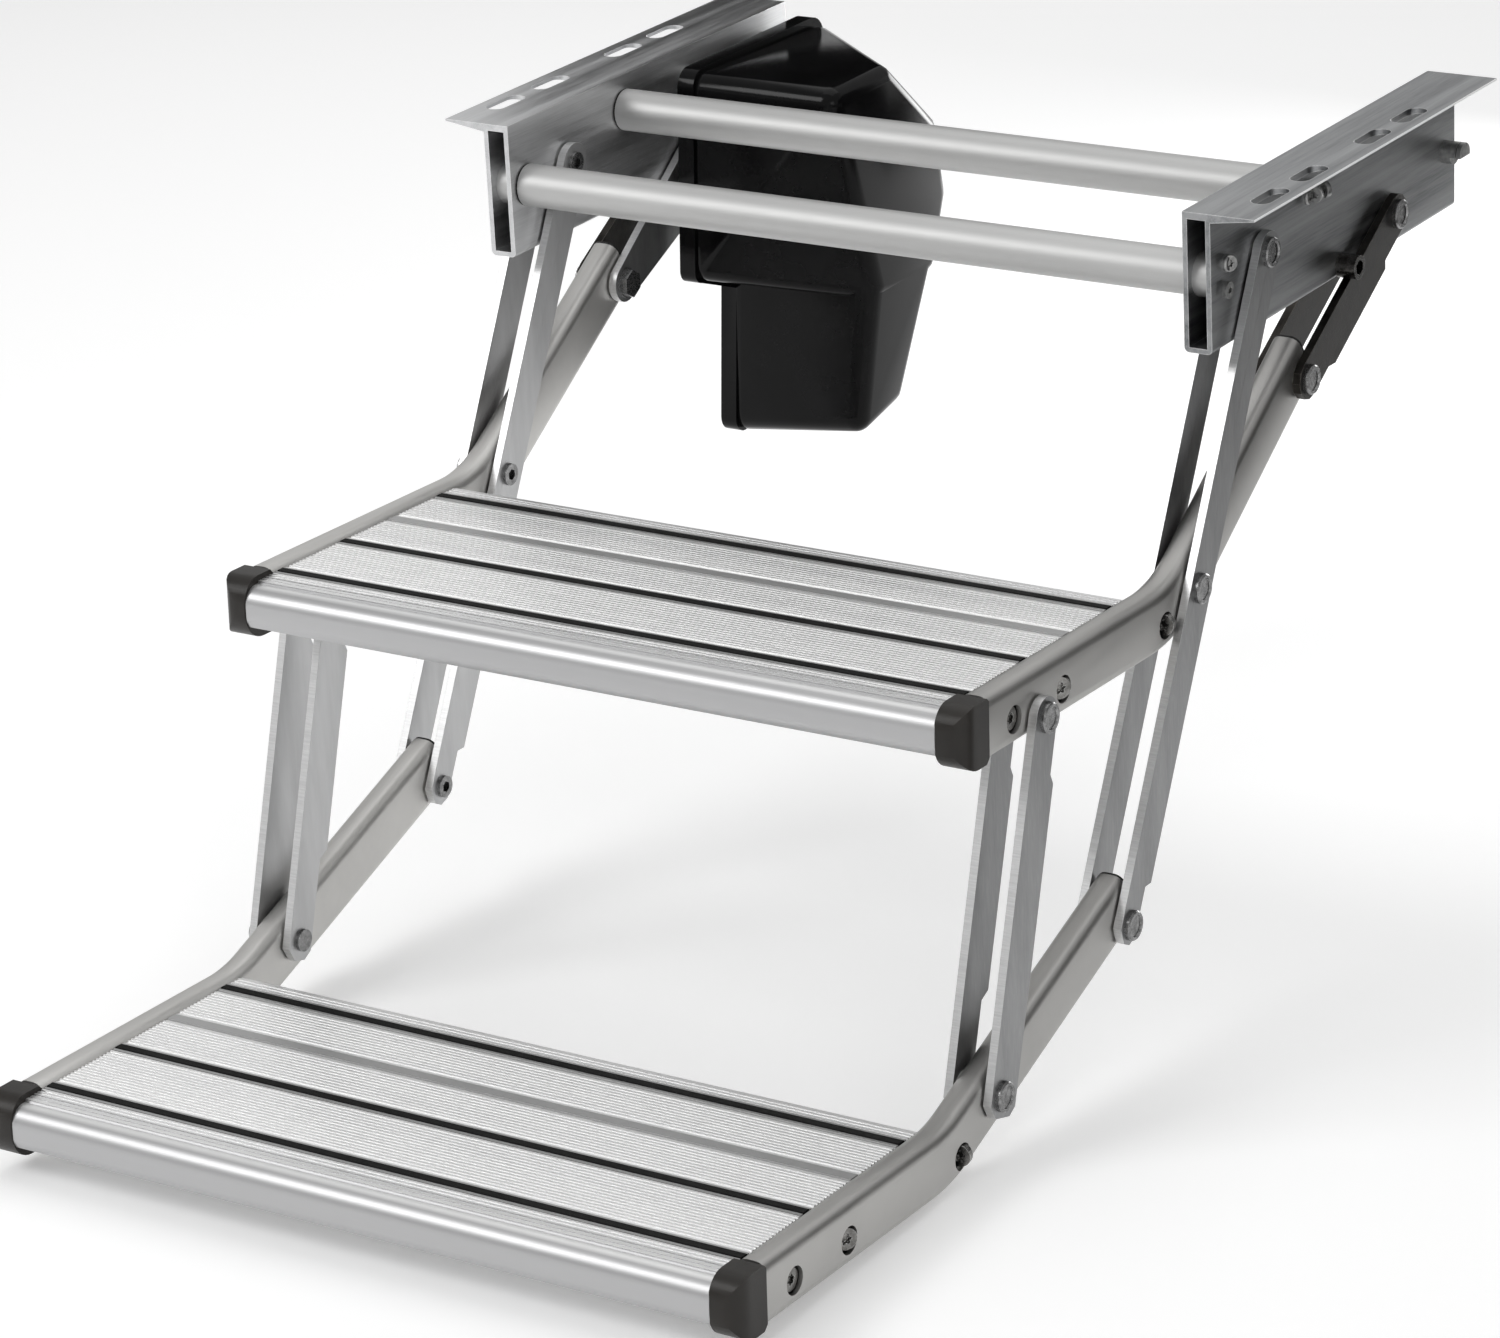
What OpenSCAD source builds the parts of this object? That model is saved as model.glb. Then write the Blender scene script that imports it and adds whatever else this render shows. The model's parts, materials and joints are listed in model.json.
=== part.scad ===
// Electric folding double entry step for a caravan or camper.
// Frame: X across the vehicle, Y rearward under the floor, Z up.
// Origin: middle of the mounting slots' pattern, on the top face of the rails' flanges.
// The model stands as it does when it is let down.

/* [Treads] */
// Length of each tread between its two arms
tread_len = 440; // [400:1:480]
// Distance from the first rubber strip to the front of the nose
nose_reach = 33; // [28:1:38]
// Depth of the closed nose below the tread surface
nose_drop = 27; // [22:1:29]
// Distance from the first to the second rubber strip
strip_2_y = 59; // [50:1:64]
// Distance from the first to the third rubber strip
strip_3_y = 153.6; // [140:0.2:156]
// Distance from the first strip to the rear top edge
tread_rear_y = 172; // [168:1:175]
// Overall thickness of the ribbed plate
plate_t = 8.5; // [7:0.5:9]
// Wall of the extruded nose and of the plate cells
tread_wall = 2.2; // [1.8:0.1:2.6]
// Width of one rubber strip
strip_w = 6.4; // [5:0.2:8]
// Height of the rubber above the tread surface
strip_rise = 0.5; // [0.2:0.1:0.8]
// Pitch of the fine ribs
rib_pitch = 3.1; // [2.8:0.1:4]
// Height of the fine ribs
rib_h = 0.7; // [0.4:0.1:0.9]
// Downward tilt of both treads towards the vehicle, degrees
tread_tilt = 2.2; // [0:0.2:3]

/* [Arms] */
// Width of the bent arm tube
arm_w = 17; // [15:0.5:19]
// Height of the bent arm tube
arm_h = 35; // [33:0.5:35]
// Wall of the arm tube
arm_wall = 2.5; // [2:0.1:3]
// Outer corner radius of the arm tube
arm_corner = 6; // [4:0.5:7]
// Height of the arm above the tread surface
arm_rise = 2.5; // [1:0.5:3]
// Rise of the upper arm's tail above its tread, degrees
upper_slope = 34; // [33:0.5:35]
// Rise of the lower arm's tail above its tread, degrees
lower_slope = 21.3; // [20:0.1:22]
// Centre line radius of both bends
bend_r = 90; // [70:5:110]
// Length of the upper arm beyond its rear pivot
upper_tail = 11; // [8:1:12]
// Length of the lower arm beyond its rear pivot
lower_tail = 11; // [8:1:14]
// Distance from the first strip forward to the end of the arm tube
cap_joint = 6.2; // [4:0.2:8]
// Length of the cap's spigot inside the arm
cap_spigot = 12; // [8:1:13]

/* [Linkage] */
// Distance of the swing bar pivot behind the rail ends
swing_y = 57.5; // [56:0.5:59]
// Depth of the swing bar pivot below the flange top
swing_z = 36.5; // [35:0.5:38]
// Lean of the swing bars from the vertical, degrees
swing_lean = 27.8; // [27.4:0.1:28]
// Swing bar hole spacing, top to middle
swing_mid = 188; // [187:0.5:189]
// Swing bar hole spacing, top to bottom
swing_len = 375.3; // [374.5:0.1:376.5]
// Distance of the rear link pivot behind the rail ends
rear_y = 219; // [218:0.5:221]
// Depth of the rear link pivot below the flange top
rear_z = 59.5; // [59:0.5:60]
// Reach of the swing bars' front edge from their pivots
bar_front = 11; // [10:0.5:12]
// Reach of the swing bars' rear edge from their pivots
bar_rear = 13.5; // [12:0.5:14]
// Reach of the lower links' front edge from their pivots
link_front = 11.5; // [10:0.5:11.5]
// Reach of the lower links' rear edge from their pivots
link_rear = 15.5; // [13:0.5:16]
// Thickness of all bars
bar_t = 5; // [4:0.5:6]
// Width of the steel rear links
rear_link_w = 23.5; // [21:0.5:28]
// Extra width of the rear links' back edge
rear_link_bump = 4.5; // [2:0.5:5]
// Depth of the cut-back edge at the bar ends
bar_step = 6; // [3:0.5:6]
// Radius of the drive lever round its shaft
lever_hub_r = 25; // [20:1:27]
// Diameter of the pivot pins
pin_d = 10; // [8:0.5:11]
// Diameter of the pivot pin heads
head_d = 17; // [14:0.5:18]
// Height of the outer pivot pin heads
head_h = 3.2; // [2:0.2:4]
// Diameter of the inner pin ends
inner_head_d = 13; // [12:0.5:14]
// Height of the inner pin ends
inner_head_h = 2.2; // [1.5:0.1:3]
// Diameter of the plastic washers between bar and tube
washer_d = 20; // [18:0.5:22]
// Thickness of the plastic washers
washer_t = 0.8; // [0.6:0.1:1]
// Running gap between a washer and the tube that it faces
side_gap = 0.2; // [0.15:0.05:0.3]
// Radial running clearance of pins and shafts
run_gap = 0.05; // [0.03:0.01:0.08]

/* [Rails] */
// Length of each rail
rail_len = 307; // [300:1:309]
// Height of each rail
rail_h = 79.5; // [76:0.5:80]
// Wall of the rail's box
rail_wall = 3; // [2.5:0.1:3.5]
// Total width of the mounting flange
flange_w = 44; // [40:1:48]
// Flange thickness at its root
flange_t = 5; // [4:0.5:6]
// Flange thickness at its thin outer edge
flange_edge_t = 1.2; // [1:0.1:2]
// Width of the mounting slots
slot_w = 12; // [9:0.5:13]
// Overall length of the mounting slots
slot_len = 32; // [24:1:36]
// Spacing of the two outer slots of a rail
slot_outer = 173; // [168:1:178]
// Spacing of the two inner slots of a rail
slot_inner = 79; // [74:1:84]
// Distance of the slot group's middle behind the rail ends
slots_y = 130.3; // [126:0.1:134]
// Distance of the slots from the rail's inner face
slot_x = 31; // [29:0.1:33]
// Diameter of the deployed stop pins
stop_d = 14; // [12:0.5:17]
// Length of the stop pins outside the rail
stop_len = 12; // [10:0.5:15]
// Position along the rear link at which it meets the stop pin
stop_along = 61; // [55:1:70]
// Diameter of the rear stow stops
stub_d = 13.5; // [11:0.5:15]
// Length of the rear stow stops' collar
stub_collar = 7; // [5:0.5:9]
// Length of the rear stow stops' notched end
stub_end = 6.5; // [5:0.5:8]
// Distance of the rear stow stops ahead of the rails' rear ends
stub_in = 14.5; // [12:0.5:20]
// Depth of the rear stow stops below the flange top
stub_z = 43; // [40:0.5:48]

/* [Cross tubes] */
// Outer diameter of the two cross tubes
tube_d = 25; // [22:0.5:26]
// Wall of the cross tubes
tube_wall = 2; // [1.5:0.1:3]
// Distance of the front tube behind the rail ends
tube_1_y = 17; // [15:0.5:18]
// Depth of the front tube below the flange top
tube_1_z = 39.5; // [37:0.5:42]
// Distance of the rear tube behind the rail ends
tube_2_y = 122.5; // [115:0.5:130]
// Depth of the rear tube below the flange top
tube_2_z = 21.5; // [19:0.5:24]
// Spacing of the two screws in one tube end
tube_screw_gap = 15; // [13:0.5:16]

/* [Drive] */
// Distance of the motor cover's front behind the rail ends
cover_y = 163; // [162.5:0.5:166]
// Distance of the cover's lower box behind the rail ends
lower_box_y = 200; // [198:0.5:203]
// Width of the motor cover from its lip to its inboard side
cover_w = 111; // [106:1:116]
// Length of the motor cover along the rail
cover_l = 152; // [148:1:154]
// Lowest point of the motor cover below the flange top
cover_z = 246; // [240:1:249]
// Underside of the cover's upper box below the flange top, at its front
lip_z = 139; // [134:1:139]
// Depth of the cover's flat lip band
lip_depth = 11; // [10:0.5:15]
// Forward lean of the cover's front edges on their way down
cover_lean = 8; // [4:0.5:9]
// Sheet thickness of the motor cover
cover_t = 2.5; // [2:0.1:3]
// Corner radius of the motor cover
cover_r = 11; // [8:1:12]
// Diameter of the drive shaft
shaft_d = 12; // [11:0.5:13]
// Diameter of the gearbox round the shaft
gear_d = 60; // [54:1:62]
// Length of the gearbox along the shaft
gear_l = 56; // [50:1:58]
// Diameter of the motor can
motor_d = 52; // [48:1:54]
// Length of the motor can
motor_l = 92; // [86:1:96]
// Thickness of the motor's mounting plate
motor_plate_t = 3; // [2.5:0.5:4]
// Size of the mounting plate's bolts across the flats
bolt_af = 10; // [8:0.5:11]
// Height of the mounting plate's bolt heads
bolt_head_h = 4; // [3:0.5:4.5]
// Width of the worm housing across the step
worm_w = 44; // [40:1:46]
// Length of the worm housing along the rail
worm_l = 48; // [44:1:50]
// Height of the worm housing
worm_h = 40; // [36:1:42]
// Distance of the motor's axis behind the drive shaft
motor_behind = 19; // [17:0.5:21]
// Depth of the worm housing's underside below the drive shaft
worm_below = 38; // [36:1:40]
// Diameter of the gearbox's boss
gear_boss_d = 30; // [26:1:32]
// Length of the gearbox's boss
gear_boss_l = 6; // [4:0.5:7]
// Diameter of the boss under the motor
motor_boss_d = 22; // [18:1:26]
// Length of the boss under the motor
motor_boss_l = 8; // [6:0.5:9]
// Length of the drive shaft inside the gearbox
shaft_in = 44; // [40:1:50]

/* [Hidden] */
$fn = 48;
eps = 0.5;

// Stations across the step, all for the right-hand side
x_in = tread_len / 2;
x_out = x_in + arm_w;
bar_gap = washer_t + side_gap;
bar_out = x_out + bar_gap;
bar_out_face = bar_out + bar_t;
bar_in = x_in - bar_gap;
bar_in_face = bar_in - bar_t;

// A vector in the Y-Z plane turned about the X axis
function turn(v, a) = [v[0] * cos(a) - v[1] * sin(a), v[0] * sin(a) + v[1] * cos(a)];
function unit(v) = v / norm(v);
function across(v) = [-v[1], v[0]];
function arc(c, r, a0, a1, n = 8) =
    [for (i = [0:n]) c + r * [cos(a0 + (a1 - a0) * i / n), sin(a0 + (a1 - a0) * i / n)]];

// Pivots. In a step's own frame the origin is the first strip on the tread surface.
upper_mid = [215.8, -4.05];
upper_rear = [347.3, 79.8];
upper_link = [44, -23.4];
lower_link = [219.6, 5.4];
lower_rear = [362.5, 50.9];
swing_dir = [-sin(swing_lean), -cos(swing_lean)];
A = [swing_y, -swing_z];
B = A + swing_dir * swing_mid;
C = A + swing_dir * swing_len;
F = [rear_y, -rear_z];
upper_o = B - turn(upper_mid, -tread_tilt);
lower_o = C - turn(lower_rear, -tread_tilt);
D = upper_o + turn(upper_rear, -tread_tilt);
E = upper_o + turn(upper_link, -tread_tilt);
G = lower_o + turn(lower_link, -tread_tilt);

// Tread screws in the step's own frame
screw_y = [19.8, 72.5, 187.3];
screw_z = -17.8;
screw_d = 5;
screw_head_d = 12;
screw_head_h = 7;
screw_socket = 6;
screw_seat_d = 8;
screw_seat_h = 1;
access_d = 15.5;
boss_r = 4.5;
arm_zc = arm_rise - arm_h / 2;
upper_pin_edge = 14.3;
lower_pin_edge = 11;

// Flat plates and cylinders that lie across the step
module along_x(x0, x1) translate([x0, 0, 0]) rotate([90, 0, 90]) linear_extrude(x1 - x0) children();
module rod_x(p, d, x0, x1) translate([x0, p[0], p[1]]) rotate([0, 90, 0]) cylinder(d = d, h = x1 - x0);
module hex_x(p, af, x0, x1)
    translate([x0, p[0], p[1]]) rotate([0, 90, 0]) cylinder(d = af / cos(30), h = x1 - x0, $fn = 6);
module head_x(p, d, x0, h) {
    chamfer = min(0.8, h / 3);
    translate([x0, p[0], p[1]]) rotate([0, 90, 0]) rotate_extrude() polygon([[0, 0], [d / 2, 0],
        [d / 2, h - chamfer], [d / 2 - chamfer, h], [0, h]]);
}
// A head with a raised rim round a recessed face
module rim_head_x(p, d, x0, h) {
    chamfer = min(0.8, h / 3);
    rim = d * 0.13;
    translate([x0, p[0], p[1]]) rotate([0, 90, 0]) rotate_extrude() polygon([[0, 0], [d / 2, 0],
        [d / 2, h - chamfer], [d / 2 - chamfer, h], [d / 2 - rim, h], [d / 2 - rim - 0.5, h - 0.9],
        [0, h - 0.9]]);
}
module sides() {
    children();
    mirror([1, 0, 0]) children();
}
module left_side() mirror([1, 0, 0]) children();
module upper_frame() translate([0, upper_o[0], upper_o[1]]) rotate([-tread_tilt, 0, 0]) children();
module lower_frame() translate([0, lower_o[0], lower_o[1]]) rotate([-tread_tilt, 0, 0]) children();

// Rails
module rail_profile() {
    r = 3;
    difference() {
        polygon(concat([[x_in, 0], [x_in, -rail_h + r]],
            arc([x_in + r, -rail_h + r], r, 180, 270), arc([x_out - r, -rail_h + r], r, 270, 360),
            [[x_out, -flange_t], [x_in + flange_w, -flange_edge_t], [x_in + flange_w, 0]]));
        translate([x_in + rail_wall, -rail_h + rail_wall])
            square([arm_w - 2 * rail_wall, rail_h - rail_wall - flange_t + 1]);
    }
}
module slot_cut(y) translate([x_in + slot_x, y, -flange_t - eps]) {
    half = (slot_len - slot_w) / 2;
    translate([-slot_w / 2, -half, 0]) cube([slot_w, 2 * half, flange_t + 2 * eps]);
    for (s = [-1, 1]) translate([0, s * half, 0]) cylinder(d = slot_w, h = flange_t + 2 * eps);
}
tube_1 = [tube_1_y, -tube_1_z];
tube_2 = [tube_2_y, -tube_2_z];
tube_1_screws = [for (s = [-1, 1]) tube_1 + s * [0, tube_screw_gap / 2]];
tube_2_screws = [for (s = [-1, 1]) tube_2 + s * [tube_screw_gap / 2, 0]];
tube_screw_d = 5;
rear_dir = unit(D - F);
stop_pos = F + rear_dir * stop_along
    - across(rear_dir) * (rear_link_w / 2 + stop_d / 2 + side_gap);
stub = [rail_len - stub_in, -stub_z];
stop_shank = 8;
plate_bolts = [[rear_y - 28, -19], [rear_y + 58, -19], [rear_y + 76, -38]];
plate_bolt_d = 6;
module rail(pivot_d, motor_side) color([0.62, 0.63, 0.64]) difference() {
    translate([0, rail_len, 0]) rotate([90, 0, 0]) linear_extrude(rail_len) rail_profile();
    for (s = [-1, 1]) {
        slot_cut(slots_y + s * slot_outer / 2);
        slot_cut(slots_y + s * slot_inner / 2);
    }
    rod_x(A, pin_d, x_in - eps, x_out + eps);
    rod_x(F, pivot_d, x_in - eps, x_out + eps);
    for (t = [tube_1, tube_2]) rod_x(t, tube_d, x_in - eps, x_in + rail_wall + eps);
    for (t = concat(tube_1_screws, tube_2_screws))
        rod_x(t, tube_screw_d, x_out - rail_wall - eps, x_out + eps);
    for (t = [stop_pos, stub]) rod_x(t, stop_shank, x_out - rail_wall - eps, x_out + eps);
    if (motor_side) for (t = plate_bolts) rod_x(t, plate_bolt_d, x_in - eps, x_in + rail_wall + eps);
}
module left_rail() left_side() rail(shaft_d + 2 * run_gap, true);
module right_rail() rail(pin_d, false);

// Cross tubes, their plugs and screws
tube_end = x_out - rail_wall;
plug_l = 24;
module cross_tube(p) color([0.78, 0.78, 0.77]) difference() {
    rod_x(p, tube_d, -tube_end, tube_end);
    rod_x(p, tube_d - 2 * tube_wall, -tube_end - eps, tube_end + eps);
}
module front_cross_tube() cross_tube(tube_1);
module rear_cross_tube() cross_tube(tube_2);
module tube_end_plugs() color([0.7, 0.7, 0.7]) sides() {
    for (t = [[tube_1, tube_1_screws], [tube_2, tube_2_screws]]) difference() {
        rod_x(t[0], tube_d - 2 * tube_wall, tube_end - plug_l, tube_end);
        for (s = t[1]) rod_x(s, tube_screw_d - 0.4, tube_end - plug_l + 6, tube_end + eps);
    }
}
module tube_screws() color([0.45, 0.44, 0.42]) sides()
    for (t = concat(tube_1_screws, tube_2_screws)) difference() {
        union() {
            rod_x(t, tube_screw_d - 0.4, tube_end - 14, x_out);
            head_x(t, 9, x_out, 2.6);
        }
        hex_x(t, 4, x_out + 1.2, x_out + 3);
    }

// Pivot pins: round outer head, shank through the tube, smaller inner end with a socket
module pivot_pin(p) color([0.7, 0.7, 0.69]) {
    difference() {
        union() {
            rod_x(p, pin_d, bar_in_face, bar_out_face);
            rim_head_x(p, head_d, bar_out_face, head_h);
            rod_x(p, inner_head_d, bar_in_face - inner_head_h, bar_in_face);
        }
        hex_x(p, 6, bar_in_face - inner_head_h - eps, bar_in_face + 2);
    }
}
module swing_pivot_pins() sides() pivot_pin(A);
module rear_pivot_pin() pivot_pin(F);
module middle_pivot_pins() sides() pivot_pin(B);
module lower_pivot_pins() sides() pivot_pin(C);
module lower_link_pins() sides() pivot_pin(E);

// Stop pins: a socketed sleeve for the let-down stop, a collar with a flat-sided end for the stow stop
module deploy_stops() color([0.5, 0.49, 0.47]) sides() difference() {
    union() {
        rod_x(stop_pos, stop_shank, x_out - rail_wall, x_out);
        rod_x(stop_pos, stop_d, x_out, x_out + stop_len);
    }
    hex_x(stop_pos, 8, x_out + stop_len - 4, x_out + stop_len + eps);
}
module stow_stops() color([0.5, 0.49, 0.47]) sides() {
    rod_x(stub, stop_shank, x_out - rail_wall, x_out);
    rod_x(stub, stub_d, x_out, x_out + stub_collar);
    difference() {
        union() {
            rod_x(stub, stub_d - 3, x_out + stub_collar, x_out + stub_collar + stub_end);
            rod_x(stub, stub_d, x_out + stub_collar, x_out + stub_collar + stub_end / 2);
            rod_x(stub, stub_d, x_out + stub_collar + stub_end / 2 + 0.8, x_out + stub_collar + stub_end);
        }
        translate([x_out + stub_collar, stub[0] - stub_d, stub[1] - stub_d - 1.5])
            cube([stub_end + eps, 2 * stub_d, stub_d]);
    }
}

// Flat bars. An outline is drawn along s, from the first pivot, and across t, positive to the rear.
module bar(p, q, points) {
    d = unit(q - p);
    n = across(d);
    polygon([for (v = points) p + v[0] * d + v[1] * n]);
}
// A rounded first end between the front and rear edges
function round_end(front, rear, steps = 12) =
    arc([0, (rear - front) / 2], (front + rear) / 2, 90, 270, steps);
// A last end with clipped corners, front edge first
function clipped_end(len, front, rear, past) = [[len + past - 7, -front], [len + past, 7 - front],
    [len + past, rear - 5], [len + past - 5, rear]];
module swing_bar_outline() difference() {
    rear = bar_rear - bar_step;
    bar(A, C, concat(round_end(bar_front, bar_rear), clipped_end(swing_len, bar_front, rear, 11),
        [[swing_len - 22, rear], [swing_len - 25, bar_rear]]));
    for (p = [A, B, C]) translate(p) circle(d = pin_d + 2 * run_gap);
}
// The inner links are cut back above their lower pivot, the outer ones keep their width
module lower_link_outline(inner) difference() {
    len = norm(G - E);
    top = link_front - 0.2;
    rear = link_rear - (inner ? bar_step : 0);
    bar(E, G, concat(round_end(link_front, top), clipped_end(len, link_front, rear, 12),
        inner ? [[len - 46, rear], [len - 51, link_rear]] : [], [[36, link_rear], [31, top]]));
    translate(E) circle(d = pin_d + 2 * run_gap);
    translate(G) circle(d = pin_d);
}
module swing_bar(x0) color([0.74, 0.75, 0.75]) along_x(x0, x0 + bar_t) swing_bar_outline();
module lower_bar(x0, inner)
    color([0.74, 0.75, 0.75]) along_x(x0, x0 + bar_t) lower_link_outline(inner);
rear_span = norm(D - F);
module rear_outline(hole_f) difference() {
    r = rear_link_w / 2;
    bar(F, D, concat(arc([0, 0], r, 90, 270, 6), arc([rear_span, 0], r, 270, 450, 6),
        [[rear_span - 21, r], [rear_span - 28.5, r + rear_link_bump], [28.5, r + rear_link_bump],
        [26, r]]));
    translate(F) circle(d = hole_f);
    translate(D) circle(d = pin_d);
}
module lever_outline() difference() {
    end_r = rear_link_w / 2;
    // Common tangents of the hub and the end circle
    a = acos((lever_hub_r - end_r) / rear_span);
    bar(F, D, concat(arc([0, 0], lever_hub_r, a, 360 - a, 20), arc([rear_span, 0], end_r, -a, a, 12)));
    translate(F) circle(d = shaft_d);
    translate(D) circle(d = pin_d);
}
module rear_link_right()
    color([0.25, 0.22, 0.2]) along_x(bar_out, bar_out_face) rear_outline(pin_d + 2 * run_gap);
module rear_link_left() left_side()
    color([0.25, 0.22, 0.2]) along_x(bar_out, bar_out_face) rear_outline(shaft_d);
module rear_link_inner_right()
    color([0.35, 0.36, 0.36]) along_x(bar_in_face, bar_in) rear_outline(pin_d + 2 * run_gap);
module drive_lever() left_side()
    color([0.6, 0.6, 0.6]) along_x(bar_in_face, bar_in) lever_outline();
module swing_bar_outer_right() swing_bar(bar_out);
module swing_bar_outer_left() left_side() swing_bar(bar_out);
module swing_bar_inner_right() swing_bar(bar_in_face);
module swing_bar_inner_left() left_side() swing_bar(bar_in_face);
module lower_link_outer_right() lower_bar(bar_out, false);
module lower_link_outer_left() left_side() lower_bar(bar_out, false);
module lower_link_inner_right() lower_bar(bar_in_face, true);
module lower_link_inner_left() left_side() lower_bar(bar_in_face, true);

// Washers lie on the bars and face the tube with a running gap
module washer_pair(p, d) color([0.85, 0.85, 0.83]) for (x = [bar_out - washer_t, bar_in]) difference() {
    rod_x(p, washer_d, x, x + washer_t);
    rod_x(p, d + 0.4, x - eps, x + washer_t + eps);
}
module swing_washers() sides() for (p = [A, B, C]) washer_pair(p, pin_d);
module lower_link_washers() sides() for (p = [E, G]) washer_pair(p, pin_d);
module rear_link_washers() {
    sides() washer_pair(D, pin_d);
    washer_pair(F, pin_d);
    left_side() washer_pair(F, shaft_d);
}

// Fasteners of the two pivots that carry no through pin: they end flush with their bars
module bar_stud(p, outer) color([0.7, 0.7, 0.69])
    if (outer) {
        rod_x(p, pin_d, bar_out, bar_out_face);
        rim_head_x(p, head_d, bar_out_face, head_h);
    } else {
        rod_x(p, pin_d, bar_in_face, bar_in);
        rod_x(p, inner_head_d, bar_in_face - inner_head_h, bar_in_face);
    }
module lower_link_rivets() sides() {
    bar_stud(G, true);
    bar_stud(G, false);
}
module rear_link_bolts() {
    sides() bar_stud(D, true);
    bar_stud(D, false);
    color([0.55, 0.53, 0.5]) left_side() {
        rod_x(D, pin_d, bar_in_face, bar_in);
        rod_x(D, head_d + 1, bar_in_face - 1.2, bar_in_face);
        hex_x(D, head_d - 2, bar_in_face - lever_bolt_h, bar_in_face - 1.2);
    }
}

// Bent arm tubes, drawn in a step's own frame from the cap joint to the tail
module tube_section(w, h, r) {
    square([w - 2 * r, h], center = true);
    square([w, h - 2 * r], center = true);
    for (sx = [-1, 1], sy = [-1, 1]) translate([sx * (w / 2 - r), sy * (h / 2 - r)]) circle(r = r);
}
function section_ring(w, h, r) = concat(arc([w / 2 - r, h / 2 - r], r, 0, 90, 4),
    arc([r - w / 2, h / 2 - r], r, 90, 180, 4), arc([r - w / 2, r - h / 2], r, 180, 270, 4),
    arc([w / 2 - r, r - h / 2], r, 270, 360, 4));
// Rings of the section at stations [y, z, slope], and the closed skin between them
function placed(ring, at) =
    [for (p = ring) [p[0], at[0] - p[1] * sin(at[2]), at[1] + p[1] * cos(at[2])]];
function skin(first, n, m, flip) = [for (k = [0:m - 2], i = [0:n - 1])
    let (a = first + k * n + i, b = first + k * n + (i + 1) % n)
    flip ? [b, a, a + n, b + n] : [a, b, b + n, a + n]];
function end_ring(a0, b0, n) = [for (i = [0:n - 1]) [a0 + i, b0 + i, b0 + (i + 1) % n, a0 + (i + 1) % n]];
module bent_tube(stations, w, h, r, wall) {
    outer = section_ring(w, h, r);
    inner = section_ring(w - 2 * wall, h - 2 * wall, max(r - wall, 1));
    n = len(outer);
    m = len(stations);
    last = (m - 1) * n;
    polyhedron(concat([for (s = stations) each placed(outer, s)],
        [for (s = stations) each placed(inner, s)]),
        concat(skin(0, n, m, false), skin(m * n, n, m, true), end_ring(0, m * n, n),
            end_ring(m * n + last, last, n)), convexity = 6);
}
// Centre line through the rear pivot's station; edge is the pivot's height above the lower edge
function tail_point(pivot, slope, edge) = pivot + (arm_h / 2 - edge) * [-sin(slope), cos(slope)];
function knee_y(pivot, slope, edge) =
    tail_point(pivot, slope, edge)[0] - (tail_point(pivot, slope, edge)[1] - arm_zc) / tan(slope);
bend_steps = 8;
function arm_stations(pivot, slope, edge, tail) =
    let (y0 = knee_y(pivot, slope, edge) - bend_r * tan(slope / 2),
        end = tail_point(pivot, slope, edge) + tail * [cos(slope), sin(slope)])
    concat([[-cap_joint, arm_zc, 0]], [for (i = [0:bend_steps]) let (a = slope * i / bend_steps)
        [y0 + bend_r * sin(a), arm_zc + bend_r * (1 - cos(a)), a]], [[end[0], end[1], slope]]);
module arm(pivot, slope, edge, tail, pins) color([0.6, 0.58, 0.55]) difference() {
    translate([x_in + arm_w / 2, 0, 0])
        bent_tube(arm_stations(pivot, slope, edge, tail), arm_w, arm_h, arm_corner, arm_wall);
    for (p = pins) rod_x(p, pin_d, x_in - eps, x_out + eps);
    for (y = screw_y) {
        rod_x([y, screw_z], access_d, x_out - arm_wall - eps, x_out + eps);
        rod_x([y, screw_z], screw_d, x_in - eps, x_in + arm_wall + eps);
    }
}
module upper_arm() upper_frame()
    arm(upper_rear, upper_slope, upper_pin_edge, upper_tail, [upper_mid, upper_link]);
module lower_arm() lower_frame() arm(lower_rear, lower_slope, lower_pin_edge, lower_tail, [lower_rear]);
module upper_arm_right() upper_arm();
module upper_arm_left() left_side() upper_arm();
module lower_arm_right() lower_arm();
module lower_arm_left() left_side() lower_arm();

// Plugs in the tails of the arms
module arm_plug(pivot, slope, edge, tail) color([0.12, 0.12, 0.12]) {
    plug_depth = tail - pin_d / 2 - 1;
    t = tail_point(pivot, slope, edge) + tail * [cos(slope), sin(slope)];
    translate([x_in + arm_w / 2, t[0], t[1]]) rotate([slope, 0, 0]) rotate([-90, 0, 0]) {
        linear_extrude(1.6) tube_section(arm_w - 0.4, arm_h - 0.4, arm_corner);
        translate([0, 0, -plug_depth]) linear_extrude(plug_depth + 0.2) tube_section(arm_w
            - 2 * arm_wall - 0.2, arm_h - 2 * arm_wall - 0.2, arm_corner - arm_wall);
    }
}
module upper_arm_plugs() sides() upper_frame()
    arm_plug(upper_rear, upper_slope, upper_pin_edge, upper_tail);
module lower_arm_plugs() sides() lower_frame()
    arm_plug(lower_rear, lower_slope, lower_pin_edge, lower_tail);

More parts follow.
